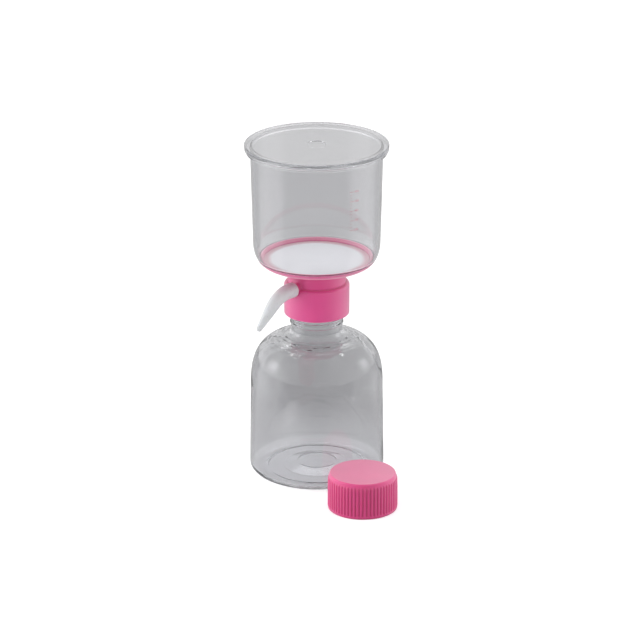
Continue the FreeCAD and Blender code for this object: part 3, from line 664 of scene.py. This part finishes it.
# ---------------------------------------------------------------- storage cap
def make_cap():
    rib_top, rib_low = 26.4, 2.2
    root = CAP_R - RIB_DEPTH
    o = Outline(0, CAP_CEIL)
    o.path([(15.9, CAP_CEIL, 0.5), (16.2, 23.6, 0.5), (17.4, 23.6, 0.5), (17.7, CAP_CEIL, 0.3),
            (SOCKET_R, CAP_CEIL, 0.6), (SOCKET_R, CAP_CEIL - 2.4)], step=5)
    o.line(SOCKET_R, 13.0, 0.35)
    o.path([(SOCKET_R, 1.0, 0.2), (SOCKET_R + 0.9, 0.0, 0.05), (CAP_R - 0.4, 0.0, 0.3), (CAP_R - 0.1, 1.2, 0.4),
            (CAP_R - 0.1, 1.9, 0.2), (root, 2.35, 0.2), (root - 0.02, 3.2)], step=2)
    # fine rows where the ribs start and end
    o.line(root - 0.08, 21.5, 2.2)
    o.line(root - 0.1, 23.6, 0.5)
    o.path([(root - 0.16, 24.6), (root - 0.4, rib_top, 1.2), (CAP_TOP_R + 0.6, CAP_H - 0.9, 0.9),
            (CAP_TOP_R, CAP_H - 0.01, 0.8), (CAP_TOP_R - 2.0, CAP_H - 0.01)], n=10, step=0.5)
    o.line(0, CAP_H - 0.01, 3.0)
    ridge = thread_relief(CAP_CEIL - 11.2, THREAD_TURNS, 20, 2.1, 0.9, SOCKET_R - SOCKET_CREST_R, -1)

    def env(z):
        """Outer surface of the ribs at a height."""
        return np.interp(z, [0, 2.0, 2.3, 18.0, 24.4, 25.2, 26.2, 26.8],
                         [26.9, 27.08, CAP_R - 0.02, CAP_R - 0.07, CAP_R - 0.27, CAP_R - 0.5, CAP_R - 1.15, CAP_R - 1.6])

    def relief(theta, r, z):
        nul = np.zeros_like(theta)
        if abs(r - SOCKET_R) < 1e-6 and 12.8 < z < 24.8:
            return ridge(theta, z), nul
        if r > root - 0.9 and 2.0 < z < 26.6:
            ph = (theta * CAP_RIBS / (2 * math.pi)) % 1
            w = np.clip((0.40 - np.abs(ph - 0.5)) / 0.24, 0, 1)
            w = w * w * (3 - 2 * w)
            return w * max(0.0, float(env(z)) - r), nul
        return nul, nul

    return turned("cap_moulding", o, 600, relief, centre=(CAP_X, CAP_Y))


# ------------------------------------------------------------------- materials
class Nodes:
    """Small helper that adds nodes to a material and links them."""

    def __init__(self, name):
        self.mat = bpy.data.materials.new(name)
        self.mat.use_nodes = True
        self.nt = self.mat.node_tree
        self.bsdf = next(n for n in self.nt.nodes if n.type == "BSDF_PRINCIPLED")
        self.out = next(n for n in self.nt.nodes if n.type == "OUTPUT_MATERIAL")
        self.pos = self.add("ShaderNodeTexCoord").outputs["Object"]

    def add(self, kind, **kw):
        n = self.nt.nodes.new(kind)
        for k, v in kw.items():
            setattr(n, k, v)
        return n

    def link(self, a, b):
        self.nt.links.new(a, b)
        return b

    def set(self, **kw):
        for k, v in kw.items():
            self.bsdf.inputs[k.replace("_", " ")].default_value = v

    def noise(self, scale, detail=3.0, rough=0.55, stretch=None, distortion=0.0):
        n = self.add("ShaderNodeTexNoise")
        n.inputs["Scale"].default_value = scale
        n.inputs["Detail"].default_value = detail
        n.inputs["Roughness"].default_value = rough
        n.inputs["Distortion"].default_value = distortion
        if stretch:
            m = self.add("ShaderNodeMapping")
            m.inputs["Scale"].default_value = stretch
            self.link(self.pos, m.inputs["Vector"])
            self.link(m.outputs["Vector"], n.inputs["Vector"])
        else:
            self.link(self.pos, n.inputs["Vector"])
        return n.outputs["Fac"]

    def ramp(self, fac, stops):
        r = self.add("ShaderNodeValToRGB")
        el = r.color_ramp.elements
        while len(el) < len(stops):
            el.new(0.5)
        for e, (p, c) in zip(el, stops):
            e.position = p
            e.color = c if len(c) == 4 else (*c, 1)
        self.link(fac, r.inputs["Fac"])
        return r.outputs["Color"]

    def span(self, fac, lo, hi, a=0.0, b=1.0, smooth=False):
        m = self.add("ShaderNodeMapRange")
        if smooth:
            m.interpolation_type = "SMOOTHSTEP"
        m.inputs["From Min"].default_value = lo
        m.inputs["From Max"].default_value = hi
        m.inputs["To Min"].default_value = a
        m.inputs["To Max"].default_value = b
        self.link(fac, m.inputs["Value"])
        return m.outputs["Result"]

    def mix(self, fac, a, b, kind="MIX"):
        m = self.add("ShaderNodeMix", data_type="RGBA", blend_type=kind)
        if isinstance(fac, float):
            m.inputs[0].default_value = fac
        else:
            self.link(fac, m.inputs[0])
        for sock, v in ((m.inputs[6], a), (m.inputs[7], b)):
            if isinstance(v, tuple):
                sock.default_value = (*v, 1) if len(v) == 3 else v
            else:
                self.link(v, sock)
        return m.outputs[2]

    def math(self, op, a, b=None):
        m = self.add("ShaderNodeMath", operation=op)
        for sock, v in ((m.inputs[0], a), (m.inputs[1], b)):
            if v is None:
                continue
            if isinstance(v, (int, float)):
                sock.default_value = v
            else:
                self.link(v, sock)
        return m.outputs[0]

    def bump(self, height, strength, distance, chain=None):
        b = self.add("ShaderNodeBump")
        b.inputs["Strength"].default_value = strength
        b.inputs["Distance"].default_value = distance
        self.link(height, b.inputs["Height"])
        if chain is not None:
            self.link(chain, b.inputs["Normal"])
        return b.outputs["Normal"]


def clear_plastic(name, tint, depth_color, density, waves, wave_scale, rough_lo=0.012, rough_hi=0.05):
    """Clear polystyrene: tinted a little at each wall and along its thickness,
    with the gentle waviness of a moulded wall and a few handling marks."""
    m = Nodes(name)
    m.set(Base_Color=(*tint, 1), IOR=1.50, Transmission_Weight=1.0, Metallic=0.0)
    m.bsdf.inputs["Specular IOR Level"].default_value = 0.5
    dust = m.noise(900.0, 2.0, 0.6)
    marks = m.noise(55.0, 4.0, 0.62, stretch=(1.0, 1.0, 0.35))
    r = m.math("MULTIPLY", m.span(marks, 0.42, 0.78), m.span(dust, 0.35, 0.7))
    m.link(m.span(r, 0.0, 1.0, rough_lo, rough_hi), m.bsdf.inputs["Roughness"])
    big = m.noise(wave_scale, 2.0, 0.5, stretch=(1.0, 1.0, 0.55))
    n = m.bump(big, 1.0, waves)
    fine = m.noise(wave_scale * 9, 2.0, 0.5)
    n = m.bump(fine, 0.35, waves * 0.025, n)
    m.link(n, m.bsdf.inputs["Normal"])
    if density:
        v = m.add("ShaderNodeVolumeAbsorption")
        v.inputs["Color"].default_value = (*depth_color, 1)
        v.inputs["Density"].default_value = density
        m.link(v.outputs["Volume"], m.out.inputs["Volume"])
    return m.mat


def pink_plastic(name, base, dark, rough, sss=0.18, grain=0.00002, painted_rim_light=None, sheen=0.55, painted_groove_shade=None):
    m = Nodes(name)
    m.set(IOR=1.49, Metallic=0.0)
    cloud = m.noise(38.0, 3.0, 0.55)
    flow = m.noise(120.0, 3.0, 0.6, stretch=(1.0, 1.0, 0.25))
    c = m.mix(m.span(cloud, 0.3, 0.7), base, dark)
    c = m.mix(m.span(flow, 0.45, 0.75, 0.0, 0.12), c, tuple(min(1, v * 1.15) for v in base))
    if painted_rim_light:
        # painted highlight: the top and inner wall of the pink ring round the membrane are painted paler, standing in
        # for light falling on them
        sep = m.add("ShaderNodeSeparateXYZ")
        m.link(m.pos, sep.inputs["Vector"])
        x, y, z = sep.outputs["X"], sep.outputs["Y"], sep.outputs["Z"]
        r = m.math("SQRT", m.math("ADD", m.math("MULTIPLY", x, x), m.math("MULTIPLY", y, y)))
        zone = m.math("MULTIPLY", m.span(z, 0.1763, 0.1770), m.span(r, 0.0446, 0.0442))
        c = m.mix(m.math("MULTIPLY", zone, 0.9), c, painted_rim_light)
    if painted_groove_shade:
        # painted shade: between the grip's ribs, below the plain top edge, the colour is painted darker, standing in
        # for shade in the hollows
        (gx, gy, g_in, g_out, g_top), painted_shade_color = painted_groove_shade
        sep = m.add("ShaderNodeSeparateXYZ")
        m.link(m.pos, sep.inputs["Vector"])
        x = m.math("SUBTRACT", sep.outputs["X"], gx)
        y = m.math("SUBTRACT", sep.outputs["Y"], gy)
        r = m.math("SQRT", m.math("ADD", m.math("MULTIPLY", x, x), m.math("MULTIPLY", y, y)))
        zone = m.math("MULTIPLY", m.span(r, g_out, g_in), m.span(sep.outputs["Z"], g_top, g_top - 0.0012))
        zone = m.math("MULTIPLY", zone, m.span(r, 0.0246, 0.0250))
        c = m.mix(m.math("MULTIPLY", zone, 0.45), c, painted_shade_color)
    m.link(c, m.bsdf.inputs["Base Color"])
    speck = m.noise(700.0, 2.0, 0.6)
    m.link(m.span(speck, 0.3, 0.7, rough - 0.05, rough + 0.07), m.bsdf.inputs["Roughness"])
    m.set(Subsurface_Weight=sss, Subsurface_Scale=0.004, Sheen_Weight=sheen, Sheen_Roughness=0.5, Coat_Weight=1.0, Coat_Roughness=0.5)
    m.bsdf.inputs["Subsurface Radius"].default_value = (1.0, 0.35, 0.45)
    n = m.bump(m.noise(1500.0, 2.0, 0.6), 0.5, grain)
    n = m.bump(m.noise(90.0, 2.0, 0.5), 0.5, 0.00012, n)
    m.link(n, m.bsdf.inputs["Normal"])
    return m.mat


def natural_plastic(name):
    m = Nodes(name)
    m.set(IOR=1.49, Metallic=0.0)
    cloud = m.noise(160.0, 3.0, 0.6, stretch=(1.0, 1.0, 0.6))
    c = m.mix(m.span(cloud, 0.3, 0.7), (0.70, 0.715, 0.73), (0.64, 0.66, 0.675))
    m.link(c, m.bsdf.inputs["Base Color"])
    m.link(m.span(m.noise(800.0), 0.3, 0.7, 0.26, 0.40), m.bsdf.inputs["Roughness"])
    m.set(Subsurface_Weight=0.55, Subsurface_Scale=0.006, Transmission_Weight=0.12)
    m.bsdf.inputs["Subsurface Radius"].default_value = (1.0, 0.95, 0.85)
    n = m.bump(m.noise(1200.0), 0.4, 0.00002)
    m.link(n, m.bsdf.inputs["Normal"])
    return m.mat


def membrane_material(name):
    """White membrane; its bonded border lets the pink seat show through."""
    m = Nodes(name)
    sep = m.add("ShaderNodeSeparateXYZ")
    m.link(m.pos, sep.inputs["Vector"])
    x, y = sep.outputs["X"], sep.outputs["Y"]
    r = m.math("SQRT", m.math("ADD", m.math("MULTIPLY", x, x), m.math("MULTIPLY", y, y)))
    fibres = m.noise(2600.0, 4.0, 0.7)
    soft = m.noise(45.0, 3.0, 0.55)
    white = m.mix(m.span(fibres, 0.35, 0.7), (0.87, 0.87, 0.89), (0.93, 0.93, 0.955))
    white = m.mix(m.span(soft, 0.3, 0.7, 0.0, 0.25), white, (0.76, 0.78, 0.79))
    edge = m.span(m.math("ADD", r, m.span(soft, 0.3, 0.7, -0.0004, 0.0004)), 0.0352, 0.0390)
    c = m.mix(edge, white, (0.74, 0.50, 0.55))
    m.link(c, m.bsdf.inputs["Base Color"])
    m.link(m.span(fibres, 0.3, 0.7, 0.72, 0.9), m.bsdf.inputs["Roughness"])
    n = m.bump(fibres, 0.5, 0.00003)
    m.link(n, m.bsdf.inputs["Normal"])
    return m.mat


def plain_detail(name, a, b, scale, rough, bump_d=0.00003, sss=0.0):
    m = Nodes(name)
    f = m.noise(scale, 4.0, 0.6)
    m.link(m.mix(m.span(f, 0.3, 0.7), a, b), m.bsdf.inputs["Base Color"])
    m.link(m.span(m.noise(scale * 2.2), 0.3, 0.7, rough - 0.06, rough + 0.06), m.bsdf.inputs["Roughness"])
    m.link(m.bump(f, 0.6, bump_d), m.bsdf.inputs["Normal"])
    if sss:
        m.set(Subsurface_Weight=sss, Subsurface_Scale=0.003)
    return m.mat


def ink(name):
    """Thin red printing ink, worn a little."""
    m = Nodes(name)
    f = m.noise(1800.0, 3.0, 0.6)
    m.link(m.mix(m.span(f, 0.3, 0.7), (0.62, 0.22, 0.27), (0.70, 0.34, 0.38)), m.bsdf.inputs["Base Color"])
    m.link(m.span(f, 0.3, 0.7, 0.45, 0.6), m.bsdf.inputs["Roughness"])
    m.set(Alpha=0.55)
    return m.mat


def give(ob, mat):
    ob.data.materials.clear()
    ob.data.materials.append(mat)
    return ob


# -------------------------------------------------------------------- assembly
bottle = make_bottle()
base = make_base()
nozzle = make_nozzle()
funnel = make_funnel()
lid = make_lid()
membrane = make_membrane()
gasket = make_gasket()
plug = make_plug()
cap = make_cap()

mat_bottle = clear_plastic("clear_bottle_wall", (0.93, 0.932, 0.948), (0.55, 0.56, 0.58), 44.0, 0.0006, 26.0)
mat_funnel = clear_plastic("clear_funnel_wall", (0.945, 0.945, 0.96), (0.55, 0.56, 0.58), 20.0, 0.00025, 18.0)
mat_lid = clear_plastic("clear_lid_wall", (0.945, 0.945, 0.958), (0.55, 0.56, 0.58), 13.0, 0.0003, 22.0)
# pink base: its ring round the membrane gets a painted highlight
mat_base = pink_plastic("pink_base_plastic", (0.65, 0.036, 0.225), (0.60, 0.030, 0.205), 0.44, painted_rim_light=(0.82, 0.30, 0.44))
# storage cap: the hollows between its grip ribs get painted shade
mat_cap = pink_plastic("pink_cap_plastic", (0.63, 0.026, 0.19), (0.58, 0.022, 0.17), 0.44, sheen=0.40,
                       painted_groove_shade=((CAP_X / 1000, CAP_Y / 1000, 0.0265, 0.0271, 0.0262), (0.44, 0.006, 0.10)))

pieces = [
    (bottle, "bottle", "receiver_bottle", "clear_bottle", mat_bottle),
    (gasket, "gasket", "neck_gasket", "gasket", plain_detail("silicone", (0.80, 0.80, 0.78), (0.72, 0.72, 0.70), 300.0, 0.4, sss=0.3)),
    (base, "head", "filter_base", "pink_base", mat_base),
    (membrane, "head", "filter_membrane", "membrane", membrane_material("membrane_paper")),
    (funnel, "head", "funnel", "clear_funnel", mat_funnel),
    (plug, "head", "port_filter_plug", "fibre", plain_detail("fibre_wadding", (0.86, 0.86, 0.84), (0.66, 0.66, 0.64), 2600.0, 0.85, 0.0002)),
    (lid, "lid", "funnel_lid", "clear_lid", mat_lid),
    (nozzle, "nozzle", "hose_nozzle", "natural_plastic", natural_plastic("natural_nozzle_plastic")),
    (cap, "cap", "storage_cap", "pink_cap", mat_cap),
]
for ob, body, node, slot, mat in pieces:
    give(ob, mat)
    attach(ob, body)
    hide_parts(node)
for ob in (bottle, funnel, lid):
    ob.visible_shadow = False       # thin clear walls let the light through
scale = make_scale()
give(scale, ink("printed_scale"))
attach(scale, "head")

# ----------------------------------------------------------- floor, light, view
floor = new_mesh("bench", [(-7, -7, -0.0002), (7, -7, -0.0002), (7, 7, -0.0002), (-7, 7, -0.0002)], [(0, 1, 2, 3)])
fm = Nodes("bench_paper")
# The bench is a pale grey sheet, lit well past white where it is seen directly,
# as in a product shot cut out on white. What the clear parts show and mirror is
# the grey itself.
fn = fm.noise(6.0, 3.0, 0.5)
fsep = fm.add("ShaderNodeSeparateXYZ")
fm.link(fm.pos, fsep.inputs["Vector"])
fx, fy = fsep.outputs["X"], fsep.outputs["Y"]
fr = fm.math("SQRT", fm.math("ADD", fm.math("MULTIPLY", fx, fx), fm.math("MULTIPLY", fy, fy)))
# painted shadow: the grey that the clear parts show is painted darker in a ring round the object, standing in for its
# shade on the floor
painted_floor_shadow = fm.math("MULTIPLY", fm.span(fr, 0.06, 0.15, smooth=True), fm.span(fr, 0.70, 0.25, smooth=True))
painted_floor_shadow = fm.math("MULTIPLY", painted_floor_shadow, fm.span(fm.math("ABSOLUTE", fm.math("SUBTRACT", fx, 0.014)), 0.085, 0.030, smooth=True))
near = fm.span(painted_floor_shadow, 0.0, 1.0, 1.0, FLOOR_PAINTED_SHADOW)          # darker round the object
# painted light: the same grey is painted brighter right under the object, a painted pool of light
near = fm.math("MULTIPLY", near, fm.span(fr, 0.075, 0.035, 1.0, FLOOR_PAINTED_POOL, smooth=True))
greys = fm.mix(fm.span(fn, 0.3, 0.7), (FLOOR_GREY, FLOOR_GREY, FLOOR_GREY * 1.01), (FLOOR_GREY * 1.03,) * 3)
shaded = fm.add("ShaderNodeVectorMath", operation="SCALE")
fm.link(greys, shaded.inputs[0])
fm.link(near, shaded.inputs["Scale"])
fm.link(shaded.outputs[0], fm.bsdf.inputs["Base Color"])
# painted light: the grey floor is made to emit light to the left and right of the object, standing in for brighter lit
# floor there
side = fm.math("DIVIDE", fm.math("ABSOLUTE", fx), fm.math("ADD", fr, 0.001))
painted_side_light = fm.math("MULTIPLY", fm.span(side, 0.80, 0.96, smooth=True), fm.span(fr, 0.10, 0.30, smooth=True))
fm.set(Emission_Color=(1.0, 1.0, 1.0, 1))
fm.link(fm.math("MULTIPLY", painted_side_light, FLOOR_PAINTED_SIDE_LIGHT), fm.bsdf.inputs["Emission Strength"])
fm.set(Roughness=0.9)
fm.bsdf.inputs["Specular IOR Level"].default_value = 0.05
lit = fm.add("ShaderNodeBsdfPrincipled")
lit.inputs["Base Color"].default_value = (0.78, 0.78, 0.78, 1)
lit.inputs["Roughness"].default_value = 0.9
lit.inputs["Specular IOR Level"].default_value = 0.05
lit.inputs["Emission Color"].default_value = (1, 1, 1, 1)
lit.inputs["Emission Strength"].default_value = 0.36
path = fm.add("ShaderNodeLightPath")
pick = fm.add("ShaderNodeMixShader")
fm.link(path.outputs["Is Camera Ray"], pick.inputs[0])
fm.link(fm.bsdf.outputs["BSDF"], pick.inputs[1])
fm.link(lit.outputs["BSDF"], pick.inputs[2])
fm.link(pick.outputs["Shader"], fm.out.inputs["Surface"])
give(floor, fm.mat)

scene = bpy.context.scene
world = bpy.data.worlds.new("studio")
scene.world = world
world.use_nodes = True
wt = world.node_tree
bg = next(n for n in wt.nodes if n.type == "BACKGROUND")
bg.inputs["Color"].default_value = (1.0, 1.0, 1.0, 1)
tc = wt.nodes.new("ShaderNodeTexCoord")
sx = wt.nodes.new("ShaderNodeSeparateXYZ")
wt.links.new(tc.outputs["Generated"], sx.inputs["Vector"])


def wmath(op, a, b):
    m = wt.nodes.new("ShaderNodeMath")
    m.operation = op
    for sock, v in zip(m.inputs, (a, b)):
        if isinstance(v, (int, float)):
            sock.default_value = v
        else:
            wt.links.new(v, sock)
    return m.outputs[0]


# Broad soft light, set by direction: pale side walls, a dimmer room behind the
# camera, and an even ceiling.
nx, ny, nz = sx.outputs["X"], sx.outputs["Y"], sx.outputs["Z"]
level = wmath("MULTIPLY", wmath("POWER", wmath("MAXIMUM", nz, 0.0), 2.0), SKY["top"])
for axis, sign, key in ((nx, -1.0, "left"), (nx, 1.0, "right"), (ny, -1.0, "front"), (ny, 1.0, "back")):
    part = wmath("POWER", wmath("MAXIMUM", wmath("MULTIPLY", axis, sign), 0.0), 2.0)
    level = wmath("ADD", level, wmath("MULTIPLY", part, SKY[key]))
wt.links.new(level, bg.inputs["Strength"])


def softbox(name, loc, target, w, h, radiance, color=(1, 1, 1), soft=0.0):
    li = bpy.data.lights.new(name, "AREA")
    li.shape = "RECTANGLE"
    li.size, li.size_y = w, h
    li.energy = radiance * math.pi * w * h
    li.color = color
    if soft:
        # brightness falls off towards the panel's edges, as behind a diffuser
        li.use_nodes = True
        t = li.node_tree
        em = next(n for n in t.nodes if n.type == "EMISSION")
        geo = t.nodes.new("ShaderNodeNewGeometry")
        xyz = t.nodes.new("ShaderNodeSeparateXYZ")
        t.links.new(geo.outputs["Parametric"], xyz.inputs["Vector"])
        factor = None
        for axis in ("X", "Y"):
            d = t.nodes.new("ShaderNodeMath")
            d.operation = "PINGPONG"
            d.inputs[1].default_value = 0.5
            t.links.new(xyz.outputs[axis], d.inputs[0])
            m = t.nodes.new("ShaderNodeMapRange")
            m.interpolation_type = "SMOOTHSTEP"
            m.inputs["From Max"].default_value = soft
            t.links.new(d.outputs[0], m.inputs["Value"])
            if factor is None:
                factor = m.outputs["Result"]
            else:
                k = t.nodes.new("ShaderNodeMath")
                k.operation = "MULTIPLY"
                t.links.new(factor, k.inputs[0])
                t.links.new(m.outputs["Result"], k.inputs[1])
                factor = k.outputs[0]
        t.links.new(factor, em.inputs["Strength"])
    ob = bpy.data.objects.new(name, li)
    scene.collection.objects.link(ob)
    ob.location = loc
    d = Vector(target) - Vector(loc)
    ob.rotation_euler = d.to_track_quat("-Z", "Y").to_euler()
    return ob


panel_l = softbox("panel_left", (-0.64, -0.02, 0.31), (0, -0.02, 0.29), 0.46, 0.48, 3.2, (0.95, 0.965, 1.0), soft=0.46)
panel_r = softbox("panel_right", (0.66, 0.10, 0.31), (0, 0.02, 0.29), 0.40, 0.48, 2.7, (0.95, 0.965, 1.0), soft=0.46)
for panel in (panel_l, panel_r):
    # seen in the gloss of the plastic, and not straight through it from the far side
    panel.visible_transmission = False
softbox("high_left", (-0.9, 0.5, 2.0), (0, 0, 0.12), 0.50, 0.26, 8.0, soft=0.5)
softbox("high_right", (0.9, 0.5, 2.0), (0, 0, 0.12), 0.50, 0.26, 8.0, soft=0.5)
softbox("back_top", (0.0, 1.55, 1.62), (0, 0, 0.05), 2.2, 0.95, 1.85, soft=0.35)
# small fills for the low cap; they leave no mirror image in the clear walls
for fill in (softbox("low_left", (-0.17, -0.16, 0.06), (0.035, -0.078, 0.014), 0.12, 0.10, 16.0, soft=0.4),
             softbox("low_right", (0.26, -0.16, 0.06), (0.035, -0.078, 0.014), 0.12, 0.10, 11.0, soft=0.4)):
    fill.visible_camera = False
    fill.visible_glossy = False
    fill.visible_transmission = False

cam_data = bpy.data.cameras.new("camera")
cam = bpy.data.objects.new("camera", cam_data)
scene.collection.objects.link(cam)
cam.location = (0.0, -2.7, 1.137)
cam.rotation_euler = (math.radians(90.0 - 20.55), 0.0, -math.atan(3.45 / 3675.0))
cam_data.sensor_width = 36.0
cam_data.lens = 36.0 * 3675.0 / 640.0
cam_data.clip_start, cam_data.clip_end = 0.05, 50.0
scene.camera = cam

scene.view_settings.view_transform = "Standard"
scene.view_settings.look = "None"
scene.view_settings.exposure = 0.0
cy = scene.cycles
cy.max_bounces = 64
cy.transmission_bounces = 64
cy.transparent_max_bounces = 16
cy.glossy_bounces = 48
cy.diffuse_bounces = 4
cy.volume_bounces = 0
cy.sample_clamp_indirect = 8.0
cy.caustics_refractive = True
cy.caustics_reflective = True
cy.use_denoising = True

bpy.context.view_layer.update()
